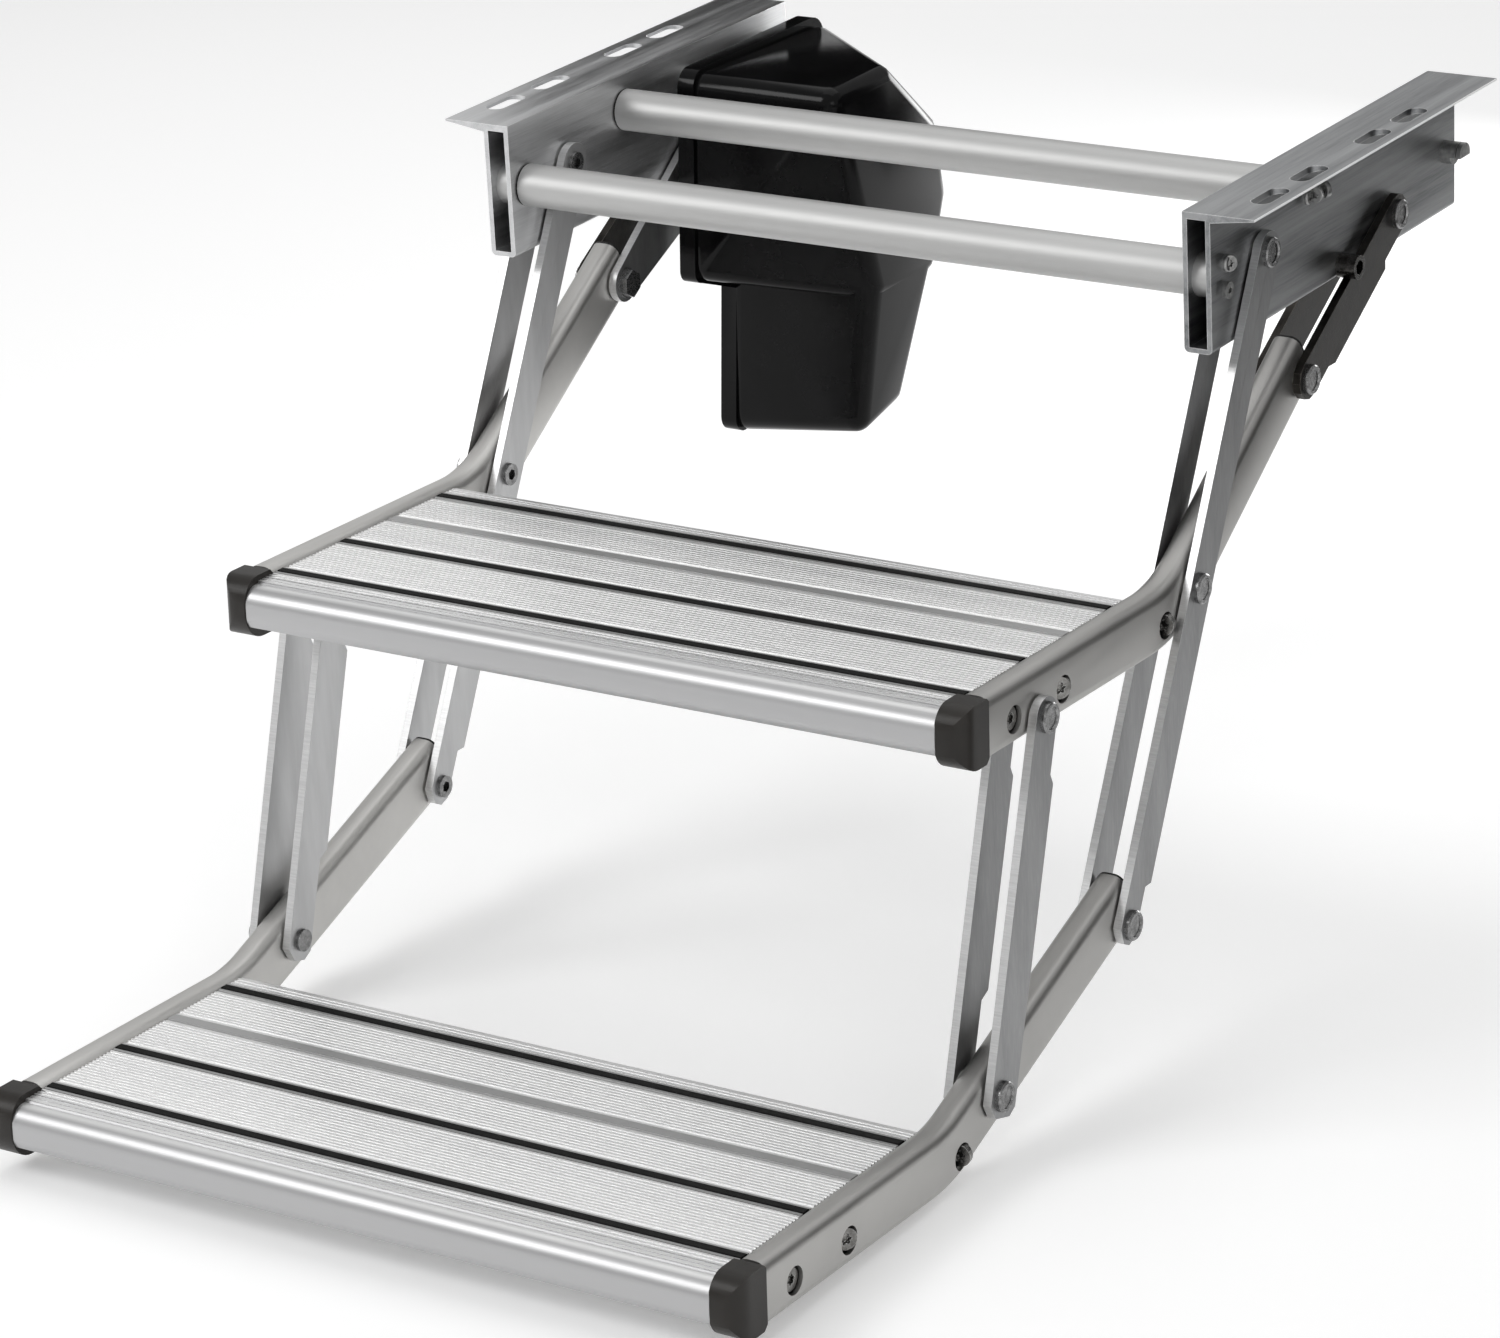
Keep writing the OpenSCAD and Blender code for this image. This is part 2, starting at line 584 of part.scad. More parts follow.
// Tread extrusion
strips = [0, strip_2_y, strip_3_y];
groove_d = 1.8;
lip_w = 2;
cell_t = plate_t - tread_wall - groove_d - 1.2;
plain_band = (strip_2_y + strip_3_y) / 2;
function near(y, list, d) = len([for (s = list) if (abs(y - s) < d) 1]) > 0;
rib_first = -nose_reach + 20;
module tread_profile() difference() {
    union() {
        // Plate and nose
        polygon(concat([[tread_rear_y, -plate_t + 2], [tread_rear_y, -rib_h - 1.2],
            [tread_rear_y - 1.5, -rib_h]], [[-nose_reach + 13, -rib_h]],
            arc([-nose_reach + 10, -rib_h - 11], 10, 80, 180, 10),
            arc([-nose_reach + 11, -nose_drop + 9], 11, 180, 215, 4),
            [[-nose_reach + 7, -nose_drop + 1], [-nose_reach + 10, -nose_drop],
            [0, -nose_drop], [1, -nose_drop + 1], [1, -plate_t], [tread_rear_y - 2, -plate_t]]));
        // Fine ribs, the raised lips beside the strips and the plain band
        for (y = [rib_first:rib_pitch:tread_rear_y - 3])
            if (!near(y, strips, strip_w / 2 + lip_w + 1.2) && !near(y, [plain_band], 5))
                translate([y - 0.7, -rib_h - 0.1]) square([1.4, rib_h + 0.1]);
        for (s = strips) translate([s - strip_w / 2 - lip_w, -rib_h - 0.1])
            square([strip_w + 2 * lip_w, rib_h + 0.1]);
        translate([plain_band - 3.8, -rib_h - 0.1]) square([7.6, rib_h]);
        // Step lines on the nose
        for (y = [12.5, 16]) translate([-nose_reach + y, -rib_h - 0.1]) square([2.2, rib_h - 0.2]);
        // Screw bosses
        for (i = [0, 1]) {
            translate([screw_y[i] - 1.5, screw_z]) square([3, -screw_z - plate_t + 1]);
            translate([screw_y[i], screw_z]) circle(r = boss_r);
        }
        translate([screw_y[2], screw_z]) circle(r = boss_r);
        polygon([[tread_rear_y - 12, -plate_t + 1], [screw_y[2] - boss_r + 1, screw_z - 1],
            [screw_y[2], screw_z + boss_r - 1], [tread_rear_y - 3, -plate_t + 1]]);
    }
    // Nose chamber, plate cells, strip grooves and screw holes
    polygon(concat([[-1.2, -rib_h - tread_wall - 1.5]],
        arc([-nose_reach + 11, -rib_h - 12], 11 - tread_wall, 90, 180, 8),
        arc([-nose_reach + 11, -nose_drop + 9], 11 - tread_wall, 180, 225, 4),
        [[-1.2, -nose_drop + tread_wall]]));
    for (i = [0:6]) {
        w = (tread_rear_y - 5) / 7;
        translate([3 + i * w, -plate_t + tread_wall]) square([w - 2, cell_t]);
    }
    for (s = strips) {
        translate([s - strip_w / 2, -groove_d]) square([strip_w, groove_d + 1]);
    }
    for (y = screw_y) translate([y, screw_z]) circle(d = screw_d);
}
module tread() color([0.8, 0.8, 0.79]) along_x(-x_in, x_in) tread_profile();
module tread_strips() color([0.08, 0.08, 0.08]) along_x(-x_in, x_in) for (s = strips)
    polygon([[s - strip_w / 2, -groove_d], [s + strip_w / 2, -groove_d], [s + strip_w / 2, 0],
        [s + strip_w / 2 - 0.8, strip_rise], [s - strip_w / 2 + 0.8, strip_rise],
        [s - strip_w / 2, 0]]);
module upper_tread() upper_frame() tread();
module lower_tread() lower_frame() tread();
module upper_tread_strips() upper_frame() tread_strips();
module lower_tread_strips() lower_frame() tread_strips();

// Tread screws sit on the arm's inner wall, inside the wide access holes
screw_l = 22;
module tread_screw(y) color([0.4, 0.39, 0.37]) difference() {
    head_x0 = x_in + arm_wall + screw_seat_h;
    union() {
        rod_x([y, screw_z], screw_d, x_in - screw_l, head_x0);
        // A narrow seat keeps the head clear of the tube's inner corner in the bend
        rod_x([y, screw_z], screw_seat_d, x_in + arm_wall, head_x0);
        head_x([y, screw_z], screw_head_d, head_x0, screw_head_h);
    }
    hex_x([y, screw_z], screw_socket, head_x0 + screw_head_h / 2, head_x0 + screw_head_h + eps);
}
module upper_tread_screws() sides() upper_frame() for (y = screw_y) tread_screw(y);
module lower_tread_screws() sides() lower_frame() for (y = screw_y) tread_screw(y);

// Rounded nose caps in the front ends of the arms
cap_proud = 0.6;
module nose_cap() color([0.13, 0.12, 0.1]) {
    top = arm_rise + 0.4;
    low = arm_rise - arm_h - 0.4;
    front = -nose_reach - cap_proud;
    intersection() {
        along_x(x_in, x_out + cap_proud) polygon(concat([[-cap_joint, low + 4]],
            [[-cap_joint - 4, low]], arc([front + 15, low + 15], 15, 270, 180, 8),
            arc([front + 13, top - 13], 13, 180, 90, 8), [[-cap_joint - 3, top], [-cap_joint, top - 3]]));
        translate([0, 0, low]) linear_extrude(top - low) polygon(concat([[x_in, -cap_joint],
            [x_in, front + 0.8], [x_in + 0.8, front]], arc([x_out + cap_proud - 11, front + 11], 11, 270,
            360, 8), [[x_out + cap_proud, -cap_joint - 1], [x_out, -cap_joint]]));
    }
    translate([x_in + arm_w / 2, -cap_joint - 1, arm_zc]) rotate([-90, 0, 0])
        linear_extrude(cap_spigot + 1) tube_section(arm_w - 2 * arm_wall - 0.2,
            arm_h - 2 * arm_wall - 0.2, arm_corner - arm_wall);
}
module upper_nose_caps() sides() upper_frame() nose_cap();
module lower_nose_caps() sides() lower_frame() nose_cap();

// Drive. Its mounting plate stands off the left rail on spacers above the lever's sweep.
lever_bolt_h = 5;
lip_x = bar_in_face - lever_bolt_h - 0.5;
plate_x = lip_x - motor_plate_t;
side_x = lip_x - cover_w;
cover_top = -7;
spacer_d = 14;
cover_rear = cover_y + cover_l;
ear_t = 2.5;
ear_w = 14;
ear_d = lip_depth - cover_t - 0.5;
cover_screw_d = 4;
cover_screw_z = [-30, -64, -98];
screw_x = lip_x - lip_depth / 2;
module motor_plate() left_side() color([0.55, 0.56, 0.57]) difference() {
    union() {
        along_x(plate_x, lip_x) plate_outline();
        for (p = plate_bolts) rod_x(p, spacer_d, lip_x, x_in);
        for (z = cover_screw_z)
            translate([lip_x - ear_d, cover_rear - cover_t - fit - ear_t, z - ear_w / 2])
                cube([ear_d, ear_t, ear_w]);
    }
    for (p = plate_bolts) rod_x(p, plate_bolt_d, plate_x - eps, x_in + eps);
    rod_x(F, shaft_d + 2, plate_x - eps, lip_x + eps);
    screw_holes();
}
module screw_holes() for (z = cover_screw_z) translate([screw_x, cover_rear - 12, z])
    rotate([-90, 0, 0]) cylinder(d = cover_screw_d, h = 12 + eps);
fit = 0.15;
// Side view of the cover's lip: a box with a lower box hung on its rear part
module lip_outline() {
    rear_top = cover_rear - 14;
    polygon(concat(arc([cover_y + 12, cover_top - 12], 12, 180, 90),
        arc([rear_top, cover_top - 14], 14, 90, 0), [[cover_rear, -105], [cover_rear - 15, -160]],
        arc([cover_rear - 60, -cover_z + 16], 12, -10, -90),
        arc([lower_box_y - cover_lean + 10, -cover_z + 10], 10, 270, 180), [[lower_box_y, -lip_z - 14]],
        arc([cover_y - cover_lean + 8, -lip_z + 8], 8, 262, 180)));
}
module plate_outline() intersection() {
    offset(delta = -cover_t - fit) lip_outline();
    translate([cover_y - cover_lean, -lip_z]) square([cover_l + cover_lean, lip_z]);
}
module motor_plate_bolts() left_side() color([0.5, 0.5, 0.5]) for (p = plate_bolts) {
    rod_x(p, plate_bolt_d, plate_x, x_in + rail_wall);
    hex_x(p, bolt_af, plate_x - bolt_head_h, plate_x);
    hex_x(p, bolt_af, x_in + rail_wall, x_in + rail_wall + bolt_head_h);
}
module cover_screws() left_side() color([0.2, 0.2, 0.2]) {
    for (z = cover_screw_z) translate([screw_x, cover_rear, z]) rotate([90, 0, 0]) {
        cylinder(d = cover_screw_d, h = 10);
        translate([0, 0, -2]) cylinder(d = 8, h = 2);
    }
}
gear_x0 = plate_x - gear_l;
motor_x = gear_x0 + worm_w / 2 + 2;
motor_y = rear_y + motor_behind;
worm_z = -rear_z - worm_below;
module gearbox() left_side() color([0.5, 0.51, 0.52]) difference() {
    union() {
        rod_x(F, gear_d, gear_x0, plate_x);
        rod_x(F, gear_boss_d, gear_x0 - gear_boss_l, gear_x0);
        translate([motor_x - worm_w / 2, motor_y - worm_l / 2 - 2, worm_z]) cube([worm_w, worm_l, worm_h]);
    }
    rod_x(F, shaft_d + 2 * run_gap, gear_x0 - gear_boss_l - eps, plate_x + eps);
}
module drive_motor() left_side() color([0.2, 0.2, 0.21]) {
    translate([motor_x, motor_y, worm_z - motor_l]) cylinder(d = motor_d, h = motor_l);
    translate([motor_x, motor_y, worm_z - motor_l - motor_boss_l])
        cylinder(d = motor_boss_d, h = motor_boss_l);
}
module drive_shaft() left_side() color([0.7, 0.7, 0.69]) {
    rod_x(F, shaft_d, plate_x - shaft_in, bar_out_face);
    rim_head_x(F, head_d, bar_out_face, head_h);
}

// Formed motor cover: hulls of balls on shared centres, so the sheet has one thickness all over
module balls(points, r) hull() for (p = points) translate(p) sphere(r = r, $fn = 20);
module cover_form(inset) {
    r = cover_r;
    xo = lip_x - lip_depth - r + 7;
    xi = side_x + r;
    yf = cover_y + 1 + r;
    yl = lower_box_y + 1 + r;
    yr = cover_rear - 2 - r;
    zt = cover_top - 2 - r;
    zf = -lip_z + 1 + r;
    zm = -lip_z - 13 + r;
    zb = -cover_z + 1 + r;
    // Upper box; its inboard rear top is cut back
    balls([[xo, yf, zt], [xo, yf - cover_lean, zf], [xo, yr, zt - 4], [xo, yr, -105], [xo, yl, zm],
        [xo, yr - 14, zm], [xi, yf, zt], [xi, yl, -85], [xi, yf + 52, zt], [xi, yr - 27, -62],
        [xi, yr - 19, -104], [xi, yr - 34, zm], [xi, yl, zm]], r - inset);
    // Lower box, drawn in towards its bottom
    balls([[xo, yl, zf], [xo, yl - cover_lean, zb], [xo, yr - 52, zb + 6], [xo, yr - 16, zm],
        [xi, yl, zf], [xi + 9, yl - cover_lean, zb + 9], [xi + 9, yl + 26, zb + 16],
        [xi, yr - 36, zm + 4]], r - inset);
}
module motor_cover() left_side() color([0.05, 0.05, 0.05]) difference() {
    union() {
        along_x(lip_x - lip_depth, lip_x) lip_outline();
        cover_form(0);
    }
    along_x(lip_x - lip_depth + cover_t, lip_x + eps) offset(delta = -cover_t) lip_outline();
    cover_form(cover_t);
    screw_holes();
}

// The pieces are drawn from the rails' front ends and moved to the origin
module from_slots() translate([0, -slots_y, 0]) children();
from_slots() left_rail();
from_slots() right_rail();
from_slots() front_cross_tube();
from_slots() rear_cross_tube();
from_slots() tube_end_plugs();
from_slots() tube_screws();
from_slots() swing_pivot_pins();
from_slots() rear_pivot_pin();
from_slots() deploy_stops();
from_slots() stow_stops();
from_slots() motor_plate();
from_slots() motor_plate_bolts();
from_slots() gearbox();
from_slots() drive_motor();
from_slots() motor_cover();
from_slots() cover_screws();
from_slots() drive_shaft();
from_slots() drive_lever();
from_slots() rear_link_inner_right();
from_slots() rear_link_left();
from_slots() rear_link_right();
from_slots() rear_link_bolts();
from_slots() rear_link_washers();
from_slots() swing_bar_outer_left();
from_slots() swing_bar_inner_left();
from_slots() swing_bar_inner_right();
from_slots() swing_bar_outer_right();
from_slots() swing_washers();
from_slots() upper_arm_left();
from_slots() upper_arm_right();
from_slots() upper_tread();
from_slots() upper_tread_strips();
from_slots() upper_nose_caps();
from_slots() upper_tread_screws();
from_slots() upper_arm_plugs();
from_slots() middle_pivot_pins();
from_slots() lower_link_pins();
from_slots() lower_link_outer_left();
from_slots() lower_link_inner_left();
from_slots() lower_link_inner_right();
from_slots() lower_link_outer_right();
from_slots() lower_link_rivets();
from_slots() lower_link_washers();
from_slots() lower_arm_left();
from_slots() lower_arm_right();
from_slots() lower_tread();
from_slots() lower_tread_strips();
from_slots() lower_nose_caps();
from_slots() lower_tread_screws();
from_slots() lower_arm_plugs();
from_slots() lower_pivot_pins();
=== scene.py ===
# Folding caravan entry step: finishes, small pieces, light and camera
import json
import math

import bpy
from mathutils import Matrix, Vector


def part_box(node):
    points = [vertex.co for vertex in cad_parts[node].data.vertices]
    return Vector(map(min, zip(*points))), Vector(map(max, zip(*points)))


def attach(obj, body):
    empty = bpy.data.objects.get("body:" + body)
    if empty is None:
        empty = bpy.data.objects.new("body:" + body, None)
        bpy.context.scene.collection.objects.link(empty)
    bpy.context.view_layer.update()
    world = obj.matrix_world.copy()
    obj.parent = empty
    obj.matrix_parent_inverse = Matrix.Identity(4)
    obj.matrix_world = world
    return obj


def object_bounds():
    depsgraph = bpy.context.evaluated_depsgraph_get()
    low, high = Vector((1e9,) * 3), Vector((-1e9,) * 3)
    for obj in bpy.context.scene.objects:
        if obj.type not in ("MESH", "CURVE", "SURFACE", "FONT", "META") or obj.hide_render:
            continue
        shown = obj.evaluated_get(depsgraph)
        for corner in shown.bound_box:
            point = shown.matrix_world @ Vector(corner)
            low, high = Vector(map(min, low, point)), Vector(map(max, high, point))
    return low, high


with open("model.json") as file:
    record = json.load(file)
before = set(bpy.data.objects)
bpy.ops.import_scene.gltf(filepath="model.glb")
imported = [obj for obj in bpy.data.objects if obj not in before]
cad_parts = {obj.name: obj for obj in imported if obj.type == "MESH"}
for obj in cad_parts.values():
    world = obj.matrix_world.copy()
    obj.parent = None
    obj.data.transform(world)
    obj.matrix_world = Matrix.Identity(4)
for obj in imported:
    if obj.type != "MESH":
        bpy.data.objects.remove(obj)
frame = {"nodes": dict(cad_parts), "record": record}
nodes = frame["nodes"]
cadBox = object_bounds()
mm = 0.001
print("frame loaded:", len(nodes), "nodes")


# Node helpers

def addNode(tree, kind, spot=(0, 0), **settings):
    node = tree.nodes.new(kind)
    node.location = spot
    for name, value in settings.items():
        setattr(node, name, value)
    return node


def mathNode(tree, operation, a, b=None, c=None, clamp=False):
    node = addNode(tree, "ShaderNodeMath", operation=operation, use_clamp=clamp)
    for i, value in enumerate((a, b, c)):
        if value is None:
            continue
        if isinstance(value, (int, float)):
            node.inputs[i].default_value = value
        else:
            tree.links.new(value, node.inputs[i])
    return node.outputs[0]


def mixColour(tree, factor, a, b, blend="MIX"):
    node = addNode(tree, "ShaderNodeMix", data_type="RGBA", blend_type=blend)
    for socket, value in ((node.inputs[0], factor), (node.inputs[6], a), (node.inputs[7], b)):
        if isinstance(value, (int, float)):
            socket.default_value = value
        elif isinstance(value, tuple):
            socket.default_value = (*value, 1.0)
        else:
            tree.links.new(value, socket)
    return node.outputs[2]


def remap(tree, value, low, high, newLow=0.0, newHigh=1.0):
    node = addNode(tree, "ShaderNodeMapRange", clamp=True)
    tree.links.new(value, node.inputs[0])
    for i, v in enumerate((low, high, newLow, newHigh)):
        node.inputs[i + 1].default_value = v
    return node.outputs[0]


def along(tree, kind, axis):
    # one axis of the Object coordinate or of the Normal
    where = addNode(tree, "ShaderNodeTexCoord")
    split = addNode(tree, "ShaderNodeSeparateXYZ")
    tree.links.new(where.outputs[kind], split.inputs[0])
    return split.outputs[axis]


def newGroup(name, inputs, outputs):
    group = bpy.data.node_groups.new(name, "ShaderNodeTree")
    for label, kind, value in inputs:
        socket = group.interface.new_socket(label, in_out="INPUT", socket_type=kind)
        socket.default_value = value
    for label, kind in outputs:
        group.interface.new_socket(label, in_out="OUTPUT", socket_type=kind)
    return group, addNode(group, "NodeGroupInput", (-900, 0)), addNode(group, "NodeGroupOutput", (600, 0))


def place(tree, group, **values):
    node = addNode(tree, "ShaderNodeGroup")
    node.node_tree = group
    for label, value in values.items():
        node.inputs[label].default_value = value
    return node


# Shared effects

def makeDrawnGrain():
    # streaks that an extrusion die or a brush leaves, long where Stretch is small
    group, entry, out = newGroup(
        "drawn grain",
        [("Stretch", "NodeSocketVector", (1.0, 1.0, 1.0)), ("Fine", "NodeSocketFloat", 900.0),
         ("Broad", "NodeSocketFloat", 120.0)],
        [("Fine", "NodeSocketFloat"), ("Broad", "NodeSocketFloat"), ("Height", "NodeSocketFloat")])
    where = addNode(group, "ShaderNodeTexCoord", (-900, 200))
    stretched = addNode(group, "ShaderNodeVectorMath", (-700, 100), operation="MULTIPLY")
    group.links.new(where.outputs["Object"], stretched.inputs[0])
    group.links.new(entry.outputs["Stretch"], stretched.inputs[1])
    made = {}
    for label, detail in (("Fine", 3.0), ("Broad", 4.0)):
        noise = addNode(group, "ShaderNodeTexNoise", (-450, 0))
        noise.inputs["Detail"].default_value = detail
        noise.inputs["Roughness"].default_value = 0.6
        group.links.new(stretched.outputs[0], noise.inputs["Vector"])
        group.links.new(entry.outputs[label], noise.inputs["Scale"])
        made[label] = noise.outputs["Fac"]
        group.links.new(made[label], out.inputs[label])
    both = mathNode(group, "MULTIPLY_ADD", made["Broad"], 0.5, made["Fine"])
    group.links.new(both, out.inputs["Height"])
    return group


def makeWornEdgesAndGlints():
    # 1 on outer and inner edges, broken up by a fine noise; the materials lighten these edges partly as wear and
    # partly as painted edge highlights and glints
    group, entry, out = newGroup(
        "worn edges and painted glints",
        [("Radius", "NodeSocketFloat", 0.0008), ("Break", "NodeSocketFloat", 0.35)],
        [("Edge", "NodeSocketFloat")])
    bevel = addNode(group, "ShaderNodeBevel", (-700, 200), samples=4)
    group.links.new(entry.outputs["Radius"], bevel.inputs["Radius"])
    geometry = addNode(group, "ShaderNodeNewGeometry", (-700, 0))
    dot = addNode(group, "ShaderNodeVectorMath", (-500, 100), operation="DOT_PRODUCT")
    group.links.new(bevel.outputs[0], dot.inputs[0])
    group.links.new(geometry.outputs["Normal"], dot.inputs[1])
    turned = remap(group, dot.outputs["Value"], 0.995, 0.86)
    where = addNode(group, "ShaderNodeTexCoord", (-900, -200))
    noise = addNode(group, "ShaderNodeTexNoise", (-700, -200))
    noise.inputs["Scale"].default_value = 160.0
    noise.inputs["Detail"].default_value = 3.0
    group.links.new(where.outputs["Object"], noise.inputs["Vector"])
    broken = mathNode(group, "MULTIPLY", remap(group, noise.outputs["Fac"], 0.35, 0.65), entry.outputs["Break"])
    kept = mathNode(group, "MULTIPLY", turned, mathNode(group, "SUBTRACT", 1.0, broken), clamp=True)
    group.links.new(kept, out.inputs["Edge"])
    return group


drawnGrain = makeDrawnGrain()
wornEdgesAndGlints = makeWornEdgesAndGlints()
print("shared effects made")


# Materials

def newMaterial(name, metallic=0.0, roughness=0.5, **more):
    material = bpy.data.materials.new(name)
    material.use_nodes = True
    tree = material.node_tree
    shader = tree.nodes["Principled BSDF"]
    shader.inputs["Metallic"].default_value = metallic
    shader.inputs["Roughness"].default_value = roughness
    for label, value in more.items():
        shader.inputs[label.replace("_", " ")].default_value = value
    return material, tree, shader


def addBump(tree, shader, height, distance, strength=1.0):
    bump = addNode(tree, "ShaderNodeBump")
    bump.inputs["Strength"].default_value = strength
    bump.inputs["Distance"].default_value = distance
    tree.links.new(height, bump.inputs["Height"])
    tree.links.new(bump.outputs[0], shader.inputs["Normal"])


def extrudedMetal(name, look):
    # drawn or extruded aluminium: streaks in colour and roughness, bright edges that are partly wear and partly
    # painted edge highlights
    material, tree, shader = newMaterial(name, metallic=look["metallic"])
    grain = place(tree, drawnGrain, Stretch=look["stretch"], Fine=look["fine"], Broad=look["broad"])
    streak = remap(tree, grain.outputs["Broad"], 0.35, 0.65)
    thin = remap(tree, grain.outputs["Fine"], 0.3, 0.7)
    base = mixColour(tree, streak, look["dark"], look["light"])
    base = mixColour(tree, mathNode(tree, "MULTIPLY", thin, look["thinShare"]), base, look["thinColour"])
    edge = place(tree, wornEdgesAndGlints, Radius=look["edgeRadius"]).outputs["Edge"]
    base = mixColour(tree, mathNode(tree, "MULTIPLY", edge, look["edgeShare"]), base, look["edgeColour"])
    if "front" in look:
        # painted shade on the nose's front faces, which turn away from the top, and darker grey bands beside the
        # strips and in the middle
        deep = mathNode(tree, "SUBTRACT", along(tree, "Object", "Y"), look["front"])
        greyBands = 0.0
        for centre, half in look["bands"]:
            band = mathNode(tree, "COMPARE", deep, centre * mm, half * mm)
            greyBands = mathNode(tree, "MAXIMUM", band, greyBands)
        base = mixColour(tree, greyBands, base, look["bandColour"])
        nose = mathNode(tree, "MULTIPLY", mathNode(tree, "LESS_THAN", deep, look["noseDeep"]),
                        remap(tree, along(tree, "Normal", "Z"), *look["noseTurn"]))
        base = mixColour(tree, nose, base, look["noseShadeColour"])
    if "cutFrom" in look:
        # the flange's thin outer edge: cut metal, painted white and not metallic, so that it shows as a painted
        # highlight line
        across = mathNode(tree, "ABSOLUTE", along(tree, "Object", "X"))
        paintedCutHighlight = mathNode(tree, "GREATER_THAN", across, look["cutFrom"])
        base = mixColour(tree, paintedCutHighlight, base, look["edgeColour"])
        tree.links.new(mathNode(tree, "SUBTRACT", 1.0, paintedCutHighlight), shader.inputs["Metallic"])
    if "seamAt" in look:
        # the dark joint where a tube enters its rail
        across = mathNode(tree, "ABSOLUTE", along(tree, "Object", "X"))
        seam = mathNode(tree, "COMPARE", across, look["seamAt"], look["seamHalf"])
        base = mixColour(tree, seam, base, look["seamColour"])
    tree.links.new(base, shader.inputs["Base Color"])
    rough = remap(tree, streak, 0.0, 1.0, look["rough"][0], look["rough"][1])
    rough = mathNode(tree, "MULTIPLY_ADD", thin, look["thinRough"], rough)
    tree.links.new(rough, shader.inputs["Roughness"])
    addBump(tree, shader, grain.outputs["Height"], look["bump"])
    return material


railLook = {
    "metallic": 1.0, "stretch": (1.0, 0.03, 1.0), "fine": 1400.0, "broad": 90.0,
    "dark": (0.11, 0.115, 0.12), "light": (0.36, 0.365, 0.37), "thinColour": (0.5, 0.51, 0.52), "thinShare": 0.35,
    "edgeColour": (0.9, 0.9, 0.9), "edgeShare": 0.85, "edgeRadius": 0.0009,
    "rough": (0.3, 0.44), "thinRough": 0.08, "bump": 0.0001, "cutFrom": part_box("right_rail")[1][0] - 0.3 * mm,
}
# painted light: the left-hand rail copy is painted lighter than the right-hand one, as lit and shaded copies of one
# rail finish
leftRailPaintedLightLook = dict(railLook, dark=(0.5, 0.505, 0.51), light=(0.7, 0.705, 0.71), thinColour=(0.85, 0.85, 0.86))
tubeLook = {
    "metallic": 1.0, "stretch": (0.05, 1.0, 1.0), "fine": 1500.0, "broad": 60.0,
    "dark": (0.5, 0.5, 0.495), "light": (0.56, 0.56, 0.555), "thinColour": (0.64, 0.64, 0.635), "thinShare": 0.2,
    "edgeColour": (0.9, 0.9, 0.9), "edgeShare": 0.5, "edgeRadius": 0.0006,
    "rough": (0.5, 0.54), "thinRough": 0.04, "bump": 0.00003,
    "seamAt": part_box("right_rail")[0][0] - 0.3 * mm, "seamHalf": 0.6 * mm, "seamColour": (0.03, 0.03, 0.03),
}
armLook = {
    "metallic": 1.0, "stretch": (1.0, 0.12, 0.12), "fine": 1600.0, "broad": 90.0,
    "dark": (0.44, 0.434, 0.422), "light": (0.5, 0.494, 0.48), "thinColour": (0.56, 0.555, 0.54), "thinShare": 0.15,
    "edgeColour": (0.8, 0.79, 0.77), "edgeShare": 0.5, "edgeRadius": 0.0005,
    "rough": (0.42, 0.46), "thinRough": 0.04, "bump": 0.00002,
}
treadLook = {
    "metallic": 0.85, "stretch": (0.01, 1.0, 1.0), "fine": 700.0, "broad": 60.0,
    "dark": (0.8, 0.8, 0.8), "light": (0.88, 0.88, 0.875), "thinColour": (0.95, 0.95, 0.95), "thinShare": 0.15,
    "edgeColour": (0.95, 0.95, 0.95), "edgeShare": 0.7, "edgeRadius": 0.0005,
    "rough": (0.38, 0.44), "thinRough": 0.03, "bump": 0.00001,
    # the nose colour is painted shade on the nose's front faces
    "noseShadeColour": (0.5, 0.5, 0.505), "noseDeep": 21 * mm, "noseTurn": (0.99, 0.9),
    "bandColour": (0.45, 0.45, 0.45),
    "bands": ((33.0, 5.4), (92.0, 5.4), (139.3, 4.0), (186.6, 5.4)),  # centre behind the front and half width, mm
}
castLook = {
    "metallic": 0.9, "stretch": (1.0, 1.0, 1.0), "fine": 1600.0, "broad": 90.0,
    "dark": (0.36, 0.36, 0.36), "light": (0.48, 0.48, 0.48), "thinColour": (0.56, 0.56, 0.56), "thinShare": 0.3,
    "edgeColour": (0.7, 0.7, 0.7), "edgeShare": 0.5, "edgeRadius": 0.0008,
    "rough": (0.5, 0.62), "thinRough": 0.06, "bump": 0.0004,
}


barLook = {"face": (0.34, 0.342, 0.345), "faceDark": (0.28, 0.282, 0.285), "cut": (0.74, 0.74, 0.74),
           "cutDark": (0.64, 0.64, 0.64), "rough": 0.42, "cutRough": 0.42, "faceFrom": 0.6, "bump": 0.00002}
# painted light: the left-hand bar and arm copies are painted lighter than the right-hand ones, as lit and shaded
# copies of one finish
leftBarPaintedLightLook = dict(barLook, face=(0.58, 0.582, 0.585), faceDark=(0.5, 0.502, 0.505))
leftArmPaintedLightLook = dict(armLook, dark=(0.58, 0.572, 0.556), light=(0.66, 0.652, 0.634), thinColour=(0.74, 0.735, 0.71))


